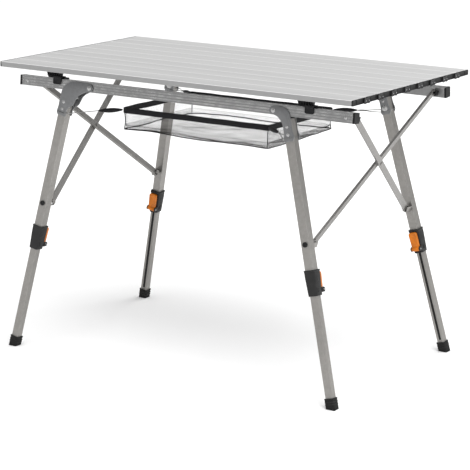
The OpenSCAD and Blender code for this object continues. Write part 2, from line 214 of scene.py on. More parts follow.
def buildDustFilm():
    # a thin film of dust on what faces up
    group, enter, leave = startGroup(
        "dustFilm", [("Vector", "NodeSocketVector", None)], [("Mask", "NodeSocketFloat")])
    facing = addNode(group, "ShaderNodeNewGeometry")
    upward = addNode(group, "ShaderNodeSeparateXYZ")
    group.links.new(facing.outputs["Normal"], upward.inputs["Vector"])
    level = addRange(group, upward.outputs["Z"], 0.2, 1.0, 0, 1)
    patches = addRange(group, addNoise(group, enter.outputs["Vector"], 35.0, 5.0, 0.7), 0.4, 0.75, 0, 1)
    group.links.new(addMath(group, "MULTIPLY", level, patches), leave.inputs["Mask"])
    return group


def buildMouldGrain():
    # the fine leathery grain of moulded plastic and rubber
    group, enter, leave = startGroup(
        "mouldGrain", [("Vector", "NodeSocketVector", None), ("Scale", "NodeSocketFloat", 1600.0)],
        [("Height", "NodeSocketFloat"), ("Blotch", "NodeSocketFloat")])
    cells = addNode(group, "ShaderNodeTexVoronoi", feature="SMOOTH_F1")
    group.links.new(enter.outputs["Vector"], cells.inputs["Vector"])
    group.links.new(enter.outputs["Scale"], cells.inputs["Scale"])
    group.links.new(cells.outputs["Distance"], leave.inputs["Height"])
    blotch = addNoise(group, enter.outputs["Vector"], 45.0, 4.0, 0.6)
    group.links.new(addRange(group, blotch, 0.35, 0.7, 0, 1), leave.inputs["Blotch"])
    return group


def buildClothWeave():
    # threads over and under, from two crossed sine waves on the piece's own place
    group, enter, leave = startGroup(
        "clothWeave", [("Vector", "NodeSocketVector", None), ("Threads", "NodeSocketFloat", 5200.0)],
        [("Height", "NodeSocketFloat"), ("Fibre", "NodeSocketFloat")])
    part = addNode(group, "ShaderNodeSeparateXYZ")
    group.links.new(enter.outputs["Vector"], part.inputs["Vector"])
    across = addMath(group, "ADD", part.outputs["X"], part.outputs["Y"])
    waves = []
    for value in (across, part.outputs["Z"]):
        turned = addMath(group, "MULTIPLY", value, enter.outputs["Threads"])
        waves.append(addMath(group, "SINE", turned))
    crossed = addMath(group, "MULTIPLY", waves[0], waves[1])
    group.links.new(addRange(group, crossed, -1, 1, 0, 1), leave.inputs["Height"])
    fibre = addNoise(group, enter.outputs["Vector"], 700.0, 3.0, 0.7)
    group.links.new(addRange(group, fibre, 0.35, 0.68, 0, 1), leave.inputs["Fibre"])
    return group


brushLines = buildBrushLines()
edgeWearAndHighlight = buildEdgeWearAndHighlight()
dustFilm = buildDustFilm()
mouldGrain = buildMouldGrain()
clothWeave = buildClothWeave()
print("shader groups built")


# ---- materials ----

def useGroup(tree, group, vector, **values):
    node = addNode(tree, "ShaderNodeGroup", node_tree=group)
    tree.links.new(vector, node.inputs["Vector"])
    for label, value in values.items():
        node.inputs[label].default_value = value
    return node.outputs


def startMaterial(name, ownPlace):
    # ownPlace reads the piece's stored place, as it lay before it was put on its leg or rail
    material = bpy.data.materials.new(name)
    material.use_nodes = True
    tree = material.node_tree
    shader = tree.nodes["Principled BSDF"]
    if ownPlace:
        place = addNode(tree, "ShaderNodeAttribute", attribute_name="ownPlace").outputs["Vector"]
    else:
        place = addNode(tree, "ShaderNodeTexCoord").outputs["Object"]
    return material, tree, shader, place


def mixColors(tree, mask, first, second):
    node = addNode(tree, "ShaderNodeMix", data_type="RGBA")
    for socket, value in zip((node.inputs[0], node.inputs[6], node.inputs[7]), (mask, first, second)):
        if isinstance(value, tuple):
            socket.default_value = (*value, 1)
        else:
            tree.links.new(value, socket)
    return node.outputs[2]


def addBump(tree, shader, height, strength, distance):
    bump = addNode(tree, "ShaderNodeBump")
    bump.inputs["Strength"].default_value = strength
    bump.inputs["Distance"].default_value = distance
    tree.links.new(height, bump.inputs["Height"])
    tree.links.new(bump.outputs["Normal"], shader.inputs["Normal"])


# side darkens an extrusion's flanks as painted shade, and lip sets a painted highlight on its rounded
# upper corners
metalLooks = {
    "slatAluminium": {"dark": (0.44, 0.44, 0.44), "light": (0.51, 0.51, 0.507), "edge": (1.0, 1.0, 1.0),
                      "side": 0.68, "lip": 0.8,
                      "metallic": 0.28, "rough": 0.46, "fineness": 900.0, "length": 3.0, "dust": 0.05},
    "railAluminium": {"dark": (0.27, 0.27, 0.27), "light": (0.42, 0.42, 0.415), "edge": (1.0, 1.0, 0.99),
                      "side": 0.95, "lip": 0.95,
                      "metallic": 0.55, "rough": 0.32, "fineness": 900.0, "length": 4.0, "dust": 0.05},
    "legAluminium": {"dark": (0.235, 0.226, 0.214), "light": (0.330, 0.318, 0.302),
                     "edge": (0.56, 0.55, 0.53),
                     "metallic": 0.66, "rough": 0.38, "fineness": 110.0, "length": 110.0, "dust": 0.05},
    "barAluminium": {"dark": (0.20, 0.194, 0.186), "light": (0.29, 0.282, 0.27),
                     "edge": (0.62, 0.61, 0.59),
                     "metallic": 0.66, "rough": 0.36, "fineness": 110.0, "length": 110.0, "dust": 0.05},
    "bracketSteel": {"dark": (0.135, 0.137, 0.140), "light": (0.20, 0.203, 0.207),
                     "edge": (0.58, 0.58, 0.58),
                     "metallic": 0.55, "rough": 0.32, "fineness": 160.0, "length": 160.0, "dust": 0.06},
    "rivetSteel": {"dark": (0.30, 0.30, 0.30), "light": (0.44, 0.44, 0.435), "edge": (0.80, 0.80, 0.80),
                   "metallic": 0.92, "rough": 0.22, "fineness": 400.0, "length": 400.0, "dust": 0.0},
    "wireSteel": {"dark": (0.13, 0.13, 0.128), "light": (0.26, 0.26, 0.255), "edge": (0.5, 0.5, 0.5),
                  "metallic": 0.92, "rough": 0.28, "fineness": 600.0, "length": 600.0, "dust": 0.0},
}


def makeMetal(name, look, ownPlace):
    material, tree, shader, place = startMaterial(name, ownPlace)
    lines = useGroup(tree, brushLines, place, Fineness=look["fineness"], Length=look["length"])
    blend = addMath(tree, "ADD", addMath(tree, "MULTIPLY", lines["Lines"], 0.55),
                    addMath(tree, "MULTIPLY", lines["Cloud"], 0.45))
    body = mixColors(tree, blend, look["dark"], look["light"])
    # painted shade and highlight: an extrusion's flanks, by which way they face, are coloured darker than
    # its top, and its rounded upper corners get a painted highlight in the edge colour
    if "side" in look:
        facing = addNode(tree, "ShaderNodeSeparateXYZ")
        tree.links.new(addNode(tree, "ShaderNodeTexCoord").outputs["Normal"], facing.inputs["Vector"])
        paintedFlankShade = addRange(tree, facing.outputs["Z"], 0.25, 0.9, 1, 0)
        shade = tuple(channel * look["side"] for channel in look["dark"])
        rise = addRange(tree, facing.outputs["Z"], 0.12, 0.5, 0, look["lip"])
        fall = addRange(tree, facing.outputs["Z"], 0.8, 0.985, 1, 0)
        # painted shade on the flanks, then a painted highlight on the rounded upper corners
        body = mixColors(tree, paintedFlankShade, body, shade)
        body = mixColors(tree, addMath(tree, "MULTIPLY", rise, fall), body, look["edge"])
    # rubbed edges in the edge colour: edge wear, and on the slats and rails a painted highlight
    rubAndHighlight = useGroup(tree, edgeWearAndHighlight, place)["Mask"]
    wearAndHighlight = mixColors(tree, rubAndHighlight, body, look["edge"])
    film = addMath(tree, "MULTIPLY", useGroup(tree, dustFilm, place)["Mask"], look["dust"])
    tree.links.new(mixColors(tree, film, wearAndHighlight, (0.62, 0.60, 0.57)), shader.inputs["Base Color"])
    rough = addRange(tree, blend, 0, 1, look["rough"] - 0.06, look["rough"] + 0.08)
    tree.links.new(addMath(tree, "ADD", rough, film), shader.inputs["Roughness"])
    shader.inputs["Metallic"].default_value = look["metallic"]
    addBump(tree, shader, lines["Lines"], 0.25, 0.00012)
    return material


plasticLooks = {
    "capPlastic": {"base": (0.007, 0.007, 0.0075), "wearAndHighlight": (0.035, 0.035, 0.036), "rough": 0.48,
                   "grain": 1500.0, "bump": 0.25},
    "linkPlastic": {"base": (0.016, 0.016, 0.017), "wearAndHighlight": (0.07, 0.07, 0.07), "rough": 0.45,
                    "grain": 1500.0, "bump": 0.2},
    "clipPlastic": {"base": (0.009, 0.009, 0.010), "wearAndHighlight": (0.04, 0.04, 0.042), "rough": 0.45,
                    "grain": 1300.0, "bump": 0.25},
    "clampPlastic": {"base": (0.016, 0.016, 0.016), "wearAndHighlight": (0.06, 0.06, 0.06), "rough": 0.50,
                     "grain": 1100.0, "bump": 0.35},
    "leverPlastic": {"gloss": 0.3, "base": (0.50, 0.135, 0.003), "wearAndHighlight": (0.66, 0.24, 0.02),
                     "rough": 0.34, "grain": 1700.0, "bump": 0.12},
    "footRubber": {"base": (0.010, 0.010, 0.010), "wearAndHighlight": (0.07, 0.068, 0.065), "rough": 0.72,
                   "grain": 900.0, "bump": 0.45},
    "stripRubber": {"base": (0.010, 0.010, 0.010), "wearAndHighlight": (0.03, 0.03, 0.03), "rough": 0.6,
                    "grain": 1200.0, "bump": 0.3},
}


def makePlastic(name, look, ownPlace):
    material, tree, shader, place = startMaterial(name, ownPlace)
    grain = useGroup(tree, mouldGrain, place, Scale=look["grain"])
    rubAndHighlight = useGroup(tree, edgeWearAndHighlight, place, Radius=0.0009)["Mask"]
    shade = tuple(channel * 1.45 + 0.002 for channel in look["base"])
    body = mixColors(tree, grain["Blotch"], look["base"], shade)
    wearAndHighlight = mixColors(tree, rubAndHighlight, body, look["wearAndHighlight"])
    film = addMath(tree, "MULTIPLY", useGroup(tree, dustFilm, place)["Mask"], 0.05)
    tree.links.new(mixColors(tree, film, wearAndHighlight, (0.4, 0.39, 0.37)), shader.inputs["Base Color"])
    tree.links.new(addRange(tree, grain["Blotch"], 0, 1, look["rough"] - 0.05, look["rough"] + 0.09),
                   shader.inputs["Roughness"])
    addBump(tree, shader, grain["Height"], look["bump"], 0.0002)
    shader.inputs["Specular IOR Level"].default_value = look.get("gloss", 0.18)
    return material


clothLooks = {
    "bindingTape": {"base": (0.008, 0.008, 0.009), "light": (0.026, 0.026, 0.028), "threads": 3600.0,
                    "bump": 0.6},
    "strapWebbing": {"base": (0.008, 0.008, 0.009), "light": (0.030, 0.030, 0.032), "threads": 3000.0,
                     "bump": 0.7},
    "netYarn": {"base": (0.010, 0.0095, 0.009), "light": (0.030, 0.029, 0.027), "threads": 9000.0,
                "bump": 0.4},
    "pipingCord": {"base": (0.010, 0.010, 0.010), "light": (0.032, 0.032, 0.032), "threads": 5200.0,
                   "bump": 0.6},
}


def makeCloth(name, look):
    material, tree, shader, place = startMaterial(name, True)
    weave = useGroup(tree, clothWeave, place, Threads=look["threads"])
    tree.links.new(mixColors(tree, weave["Fibre"], look["base"], look["light"]),
                   shader.inputs["Base Color"])
    tree.links.new(addRange(tree, weave["Height"], 0, 1, 0.92, 0.78), shader.inputs["Roughness"])
    shader.inputs["Specular IOR Level"].default_value = 0.12
    shader.inputs["Sheen Weight"].default_value = 0.08
    shader.inputs["Sheen Roughness"].default_value = 0.5
    addBump(tree, shader, weave["Height"], look["bump"], 0.0003)
    return material


materials = {}
for name, look in metalLooks.items():
    materials[name] = makeMetal(name, look, True)
    materials[name + "Plain"] = makeMetal(name + "Plain", look, False)
for name, look in plasticLooks.items():
    materials[name] = makePlastic(name, look, True)
    materials[name + "Plain"] = makePlastic(name + "Plain", look, False)
for name, look in clothLooks.items():
    materials[name] = makeCloth(name, look)
print("materials made:", len(materials))


# ---- modelling helpers ----

def deselectAll():
    if bpy.context.object and bpy.context.object.mode != "OBJECT":
        bpy.ops.object.mode_set(mode="OBJECT")
    bpy.ops.object.select_all(action="DESELECT")


def makeActive(*pieces):
    deselectAll()
    for piece in pieces:
        piece.select_set(True)
    bpy.context.view_layer.objects.active = pieces[0]
    return pieces[0]


def settle(piece):
    # the finished place goes into the mesh
    makeActive(piece)
    bpy.ops.object.transform_apply(location=True, rotation=True, scale=True)
    return piece


def startBox(low, high):
    deselectAll()
    low, high = Vector(low), Vector(high)
    bpy.ops.mesh.primitive_cube_add(size=1, location=(low + high) / 2)
    piece = bpy.context.object
    piece.scale = high - low
    return settle(piece)


def startRod(radius, start, end, sides=32):
    deselectAll()
    start, end = Vector(start), Vector(end)
    bpy.ops.mesh.primitive_cylinder_add(vertices=sides, radius=radius, depth=(end - start).length,
                                        location=(start + end) / 2)
    piece = bpy.context.object
    piece.rotation_euler = (end - start).to_track_quat("Z", "Y").to_euler()
    return settle(piece)


def pickFaces(piece, test):
    makeActive(piece)
    bpy.ops.object.mode_set(mode="EDIT")
    bpy.ops.mesh.select_mode(type="FACE")
    bpy.ops.mesh.select_all(action="DESELECT")
    bpy.ops.object.mode_set(mode="OBJECT")
    for face in piece.data.polygons:
        face.select = bool(test(face.center, face.normal))
    bpy.ops.object.mode_set(mode="EDIT")


def pickEdges(piece, test):
    makeActive(piece)
    bpy.ops.object.mode_set(mode="EDIT")
    bpy.ops.mesh.select_mode(type="EDGE")
    bpy.ops.mesh.select_all(action="DESELECT")
    bpy.ops.object.mode_set(mode="OBJECT")
    points = piece.data.vertices
    for edge in piece.data.edges:
        a, b = points[edge.vertices[0]].co, points[edge.vertices[1]].co
        edge.select = bool(test((a + b) / 2, (b - a).normalized()))
    bpy.ops.object.mode_set(mode="EDIT")


def pickPoints(piece, test):
    makeActive(piece)
    bpy.ops.object.mode_set(mode="EDIT")
    bpy.ops.mesh.select_mode(type="VERT")
    bpy.ops.mesh.select_all(action="DESELECT")
    bpy.ops.object.mode_set(mode="OBJECT")
    for point in piece.data.vertices:
        point.select = bool(test(point.co))
    bpy.ops.object.mode_set(mode="EDIT")


def objectMode():
    bpy.ops.object.mode_set(mode="OBJECT")


def bevelEdges(piece, width, segments, test):
    pickEdges(piece, test)
    bpy.ops.mesh.bevel(offset=width, segments=segments, affect="EDGES", clamp_overlap=True)
    objectMode()


def softenEdges(piece, width, segments=2, angle=35):
    makeActive(piece)
    bevel = piece.modifiers.new("softEdges", "BEVEL")
    bevel.width = width
    bevel.segments = segments
    bevel.limit_method = "ANGLE"
    bevel.angle_limit = math.radians(angle)
    bpy.ops.object.modifier_apply(modifier=bevel.name)
    bpy.ops.object.shade_smooth_by_angle(angle=math.radians(42))
    return piece


def joinPieces(*pieces):
    makeActive(*pieces)
    bpy.ops.object.join()
    return bpy.context.object


def keepPlace(piece):
    # stores where each point lies now, for the patterns
    attribute = piece.data.attributes.new("ownPlace", "FLOAT_VECTOR", "POINT")
    attribute.data.foreach_set("vector", [value for point in piece.data.vertices for value in point.co])
    return piece


def dress(piece, material):
    piece.data.materials.clear()
    piece.data.materials.append(materials[material])
    return piece


def copyTo(piece, name, matrix):
    copy = piece.copy()
    copy.data = piece.data.copy()
    bpy.context.collection.objects.link(copy)
    copy.name = copy.data.name = name
    copy.data.transform(matrix)
    if matrix.determinant() < 0:
        copy.data.flip_normals()
    return copy


def discard(*pieces):
    for piece in pieces:
        bpy.data.objects.remove(piece, do_unlink=True)


def finishNode(name, material, width, segments=2):
    # a CAD node that stays: its corners are merged and softened, and it gets its finish
    node = cadNodes[name]
    node.data.materials.clear()
    node.data.materials.append(materials[material])
    weld = node.modifiers.new("mergedCorners", "WELD")
    weld.merge_threshold = 0.00002
    bevel = node.modifiers.new("softEdges", "BEVEL")
    bevel.width = width
    bevel.segments = segments
    bevel.limit_method = "ANGLE"
    bevel.angle_limit = math.radians(38)
    bevel.use_clamp_overlap = True
    node.modifiers.new("evenShading", "WEIGHTED_NORMAL")
    return node


def sideSpace(front):
    # a side frame's own space: X along the rail, Y inwards, Z up its lean, origin on the pivot line
    joint = joints["leg_front_left" if front else "leg_rear_left"]
    inward = Vector(joint["axis"])
    if inward.y * joint["pos_m"][1] > 0:
        inward = -inward
    along = Vector((1, 0, 0))
    up = along.cross(inward) if front else inward.cross(along)
    matrix = Matrix((along, inward, up)).transposed().to_4x4()
    matrix.translation = Vector((0, joint["pos_m"][1], joint["pos_m"][2]))
    return matrix


def legSpace(key):
    # a leg's own space: origin on its pivot, Z up the leg, Y inwards, the leg's middle at X = -arm
    pivot, slide = joints["leg_" + key], joints["extension_" + key]
    inward, up = Vector(pivot["axis"]), Vector(slide["axis"])
    if inward.y * pivot["pos_m"][1] > 0:
        inward = -inward
    along = inward.cross(up)
    if (along.x > 0) != key.endswith("left"):
        along = -along
    matrix = Matrix((along, inward, up)).transposed().to_4x4()
    matrix.translation = Vector(pivot["pos_m"])
    return matrix


def boxIn(matrix, name):
    # a node's lowest and highest corners in a space of its own
    back = matrix.inverted()
    points = [back @ point.co for point in cadNodes[name].data.vertices]
    return (Vector(min(point[k] for point in points) for k in range(3)),
            Vector(max(point[k] for point in points) for k in range(3)))


legSpaces = {key: legSpace(key) for key in legKeys}
sideSpaces = {"front": sideSpace(True), "rear": sideSpace(False)}
arms = {}
for key in legKeys:
    low, high = boxIn(legSpaces[key], "lower_tube_" + key)
    arms[key] = -(low.x + high.x) / 2


# ---- tabletop ----

slatSizes = {"edge": 0.0011, "linkWidth": 0.024, "linkDrop": 0.0013, "linkThick": 0.0022,
             "pinOffset": 0.0065, "pinRadius": 0.0011}


def makeCap(low, high):
    # a slat's end cap: a rounded plate with two shallow pockets in its face
    cap = startBox(low, high)
    bevelEdges(cap, 0.0022, 3, lambda middle, way: abs(way.x) > 0.9)
    width = high.y - low.y
    pickFaces(cap, lambda middle, normal: abs(normal.x) > 0.9 and abs(middle.x - high.x) < 1e-5)
    bpy.ops.mesh.inset(thickness=0.0013, depth=-0.0006)
    objectMode()
    ribs = [startBox((low.x + 0.001, side * width * 0.2 - 0.0007, low.z + 0.002),
                     (high.x, side * width * 0.2 + 0.0007, high.z - 0.002)) for side in (-1, 1)]
    softenEdges(cap, 0.0003, 2)
    return joinPieces(cap, *ribs)


def makeLink(low, high):
    # the link over a joint, rounded like a figure of eight, hanging a little below the slats
    link = startBox(low, high)
    bevelEdges(link, 0.0042, 4, lambda middle, way: abs(way.x) > 0.9)
    middleY = (low.y + high.y) / 2
    pickFaces(link, lambda middle, normal: abs(normal.x) > 0.9 and abs(middle.x - high.x) < 1e-5)
    bpy.ops.mesh.inset(thickness=0.0011, depth=-0.0004)
    objectMode()
    pickPoints(link, lambda co: True)
    bpy.ops.mesh.bisect(plane_co=(0, middleY, 0), plane_no=(0, 1, 0))
    objectMode()
    for point in link.data.vertices:
        if abs(point.co.y - middleY) < 0.0002:
            point.co.z += 0.0012 if point.co.z < (low.z + high.z) / 2 else -0.0009
    return softenEdges(link, 0.0003, 2, 50)


def makePin(center, radius, length):
    # a domed pin along X
    pin = startRod(radius, center, center + Vector((length, 0, 0)), 20)
    pickFaces(pin, lambda middle, normal: normal.x > 0.9)
    bpy.ops.mesh.inset(thickness=radius * 0.35)
    bpy.ops.transform.translate(value=(0.0005, 0, 0))
    bpy.ops.mesh.inset(thickness=radius * 0.3)
    bpy.ops.transform.translate(value=(-0.0003, 0, 0))
    objectMode()
    return softenEdges(pin, 0.0002, 2)


def makeTabletop():
    slatCount = sum(name.startswith("slat_") and "caps" not in name for name in cadNodes)
    mirrorX = Matrix.Diagonal((-1, 1, 1, 1))
    firstLow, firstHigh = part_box("slat_1")
    capLow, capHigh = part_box("slat_caps_1")
    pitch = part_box("slat_2")[0][1] - firstLow[1]
    firstLow, firstHigh, capLow, capHigh = (Vector(corner)
                                            for corner in (firstLow, firstHigh, capLow, capHigh))
    half = (firstHigh.y - firstLow.y) / 2
    jointY = pitch / 2
    cap = makeCap(Vector((firstHigh.x, -half, firstLow.z)),
                  Vector((capHigh.x - 0.0032, half, firstHigh.z)))
    linkLow = Vector((capHigh.x - 0.0031, jointY - slatSizes["linkWidth"] / 2,
                      firstLow.z - slatSizes["linkDrop"]))
    linkHigh = Vector((linkLow.x + slatSizes["linkThick"], jointY + slatSizes["linkWidth"] / 2,
                       firstHigh.z - 0.0008))
    link = makeLink(linkLow, linkHigh)
    pins = [makePin(Vector((linkHigh.x - 0.0008, jointY + side * slatSizes["pinOffset"],
                            (linkLow.z + linkHigh.z) / 2)), slatSizes["pinRadius"], 0.0012)
            for side in (-1, 1)]
    pin = joinPieces(*pins)
    dress(keepPlace(cap), "capPlastic")
    dress(keepPlace(link), "linkPlastic")
    dress(keepPlace(pin), "rivetSteel")
    for number in range(1, slatCount + 1):
        finishNode(f"slat_{number}", "slatAluminiumPlain", slatSizes["edge"], 3)
        body = f"slat_{number}"
        shift = Matrix.Translation((0, (number - (slatCount + 1) / 2) * pitch, 0))
        for side, turn in (("right", Matrix.Identity(4)), ("left", mirrorX)):
            newCap = copyTo(cap, f"end_cap_{number}_{side}", shift @ turn)
            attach(newCap, body)
            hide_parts(f"slat_caps_{number}")
            if number < slatCount:
                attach(copyTo(link, f"link_{number}_{side}", shift @ turn), body)
                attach(copyTo(pin, f"link_pins_{number}_{side}", shift @ turn), body)
    discard(cap, link, pin)


makeTabletop()
print("tabletop done")


# ---- rails and clips ----

def makeRivet(radius, height, washer=1.25):
    # a domed rivet head on a thin washer, its axis along -Y from the origin
    ring = startRod(radius * washer, (0, 0, 0), (0, -height * 0.3, 0))
    softenEdges(ring, 0.0002, 2)
    deselectAll()
    bpy.ops.mesh.primitive_uv_sphere_add(segments=24, ring_count=14, radius=radius)
    dome = bpy.context.object
    dome.scale = (1, height / radius, 1)
    settle(dome)
    pickPoints(dome, lambda co: True)
    bpy.ops.mesh.bisect(plane_co=(0, -height * 0.28, 0), plane_no=(0, 1, 0), clear_outer=True,
                        use_fill=True)
    objectMode()
    pickFaces(dome, lambda middle, normal: middle.y < -height * 0.97)
    bpy.ops.mesh.inset(thickness=radius * 0.04)
    bpy.ops.transform.translate(value=(0, height * 0.12, 0))
    objectMode()
    makeActive(dome)
    bpy.ops.object.shade_smooth_by_angle(angle=math.radians(50))
    return joinPieces(dome, ring)


clipSizes = {"pad": (-0.027, 0.012), "padFoot": 0.72, "saddle": (-0.0035, 0.0185), "tabEnd": 0.033,
             "tongueThick": 0.0025, "ribs": (-0.020, -0.014, -0.008, -0.002, 0.004)}


def makeClip(top):
    # the pad under the tabletop, the saddle on the rail, the tongue outside it and the side tab
    railTop, outer = 0.0133, -0.0103
    (padLeft, padRight), (left, right) = clipSizes["pad"], clipSizes["saddle"]
    front = outer - clipSizes["tongueThick"]
    pad = startBox((padLeft, outer - 0.0007, railTop + 0.0015), (padRight, 0.007, top))
    pickFaces(pad, lambda middle, normal: normal.z < -0.9)
    bpy.ops.transform.resize(value=(clipSizes["padFoot"], 0.9, 1),
                             center_override=(0.001, 0, railTop + 0.0015))
    objectMode()
    bevelEdges(pad, 0.002, 2, lambda middle, way: abs(way.y) > 0.9 and middle.z < railTop + 0.003)
    pickFaces(pad, lambda middle, normal: normal.y < -0.9)
    bpy.ops.mesh.inset(thickness=0.002, depth=-0.0012)
    objectMode()
    saddle = startBox((left, front, railTop), (right, 0.0052, railTop + 0.006))
    tongue = startBox((left, front, 0.001), (right, outer, railTop + 0.002))
    bevelEdges(tongue, 0.004, 4, lambda middle, way: abs(way.y) > 0.9 and middle.z < 0.002)
    pickFaces(tongue, lambda middle, normal: normal.y < -0.9)
    bpy.ops.mesh.inset(thickness=0.0025, depth=-0.0008)
    objectMode()
    tab = startBox((right - 0.003, -0.007, railTop + 0.001),
                   (clipSizes["tabEnd"], 0.001, railTop + 0.0045))
    bevelEdges(tab, 0.003, 3, lambda middle, way: abs(way.z) > 0.9 and middle.x > right + 0.004)
    ribs = [startBox((x - 0.0006, outer - 0.0011, railTop + 0.0055),
                     (x + 0.0006, outer + 0.0010, top - 0.0022))
            for x in clipSizes["ribs"]]
    for part in (pad, saddle, tongue, tab):
        softenEdges(part, 0.0006, 2)
    return joinPieces(pad, saddle, tongue, tab, *ribs)


def makeRails():
    rivet = dress(keepPlace(makeRivet(0.0027, 0.0012)), "rivetSteel")
    for side, space in sideSpaces.items():
        finishNode("rail_" + side, "railAluminiumPlain", 0.0006, 2)
        finishNode("rail_caps_" + side, "capPlasticPlain", 0.0008, 2)
        low, high = boxIn(space, "rail_" + side)
        for x in (low.x + 0.016, high.x - 0.016):
            name = f"rail_rivet_{side}_" + ("left" if x < 0 else "right")
            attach(copyTo(rivet, name, space @ Matrix.Translation((x, low.y, 0.002))), side + "_frame")
        clipLow, clipHigh = boxIn(space, "clips_" + side)
        clip = dress(keepPlace(makeClip(clipHigh.z - 0.0012)), "clipPlastic")
        for x in (clipLow.x - clipSizes["pad"][0], clipHigh.x - clipSizes["tabEnd"]):
            name = f"clip_{side}_" + ("left" if x < 0 else "right")
            piece = copyTo(clip, name, space @ Matrix.Translation((x, 0, 0)))
            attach(piece, side + "_frame")
            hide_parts("clips_" + side)
        discard(clip)
    discard(rivet)


makeRails()
print("rails and clips done")


# ---- leg brackets ----

bracketSizes = {
    "thick": 0.002, "inside": 0.0103, "edge": 0.00035, "pivotRivet": 0.0040, "legRivet": 0.0028,
    "left": {"rows": (-0.049, -0.065), "spacer": (-0.037, -0.033),
             "outline": [(0, 9.5), (-22, 6.5), (-50, 0), (-61, -8), (-69, -20), (-71, -34), (-71, -60),
                         (-70, -79),
                         (-59, -79.6), (-47.5, -79), (-46.8, -66), (-42, -57), (-34, -50), (-30.5, -40),
                         (-26, -28), (-14, -16), (-2, -9.4), (7.5, -5.8), (9.5, 0), (6.8, 6.8)]},
    "right": {"rows": (-0.039, -0.056), "spacer": None,
              "outline": [(1, 9.5), (-12, 7.5), (-26, 2), (-35, -6), (-38, -21), (-38, -45), (-37.5, -69),
                          (-27, -69.6), (-16.5, -69), (-17, -54), (-17.5, -40), (-15, -26), (-9, -16),
                          (0, -9.5),
                          (7, -6.5), (9.5, 0), (7.2, 6.5)]},
}


def makePlate(outline, thick, edge):
    # a pressed steel plate from a smooth closed outline, standing in the XZ plane
    deselectAll()
    bpy.ops.curve.primitive_bezier_circle_add(radius=0.01)
    curve = bpy.context.object
    spline = curve.data.splines[0]
    spline.bezier_points.add(len(outline) - len(spline.bezier_points))
    for point, (x, z) in zip(spline.bezier_points, outline):
        point.co = (x * mm, z * mm, 0)
        point.handle_left_type = point.handle_right_type = "AUTO"
    spline.use_cyclic_u = True
    spline.resolution_u = 4
    curve.data.dimensions = "2D"
    curve.data.fill_mode = "BOTH"
    curve.data.extrude = thick / 2 - edge
    curve.data.bevel_depth = edge
    curve.data.bevel_resolution = 2
    curve.data.offset = -edge
    bpy.ops.object.convert(target="MESH")
    plate = bpy.context.object
    plate.rotation_euler = (math.pi / 2, 0, 0)
    settle(plate)
    pickPoints(plate, lambda co: True)
    bpy.ops.mesh.remove_doubles(threshold=0.00001)
    bpy.ops.mesh.normals_make_consistent(inside=False)
    objectMode()
    makeActive(plate)
    bpy.ops.object.shade_smooth_by_angle(angle=math.radians(40))
    return plate


def makeBracket(sizes):
    half = bracketSizes["inside"] + bracketSizes["thick"]
    plates = []
    for side in (-1, 1):
        plate = makePlate(sizes["outline"], bracketSizes["thick"], bracketSizes["edge"])
        plate.location.y = side * (bracketSizes["inside"] + bracketSizes["thick"] / 2)
        plates.append(settle(plate))
    bracket = joinPieces(*plates)
    rivets = []
    heads = [(bracketSizes["pivotRivet"], 0.0021, 0, 0, 1.25)]
    heads += [(bracketSizes["legRivet"], 0.0018, -sizes["arm"], z, 1.25) for z in sizes["rows"]]
    for radius, height, x, z, washer in heads:
        for side in (-1, 1):
            rivet = makeRivet(radius, height, 2.5 if side > 0 and z == sizes["rows"][1] else washer)
            if side > 0:
                rivet.rotation_euler = (0, 0, math.pi)
            rivet.location = (x, side * half, z)
            rivets.append(settle(rivet))
    if sizes["spacer"]:
        x, z = sizes["spacer"]
        spacer = startRod(0.004, (x, -bracketSizes["inside"], z), (x, bracketSizes["inside"], z))
        rivets.append(softenEdges(spacer, 0.0003, 2))
    pivot = startRod(0.003, (0, -half, 0), (0, half, 0))
    rivets.append(pivot)
    return bracket, joinPieces(*rivets)


def makeBrackets():
    for side in ("left", "right"):
        sizes = dict(bracketSizes[side], arm=arms["front_" + side])
        bracket, rivets = makeBracket(sizes)
        dress(keepPlace(bracket), "bracketSteel")
        dress(keepPlace(rivets), "rivetSteel")
        for end in ("front", "rear"):
            key = f"{end}_{side}"
            plates = copyTo(bracket, f"bracket_plates_{key}", legSpaces[key])
            heads = copyTo(rivets, f"bracket_rivets_{key}", legSpaces[key])
            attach(plates, "leg_" + key)
            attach(heads, "leg_" + key)
            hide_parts("bracket_" + key)
        discard(bracket, rivets)


makeBrackets()
print("brackets done")


# ---- leg tubes, clamps, levers and feet ----

clampSizes = {"topHalf": 0.0127, "lowHalf": 0.0110, "depthOut": 0.0125, "depthIn": 0.014,
              "corner": 0.0032,
              "lip": 0.0016, "earRadius": 0.0054, "pinRadius": 0.002}
leverSizes = {"half": 0.0092, "hubRadius": 0.005, "thick": 0.0060, "lip": 0.0026}


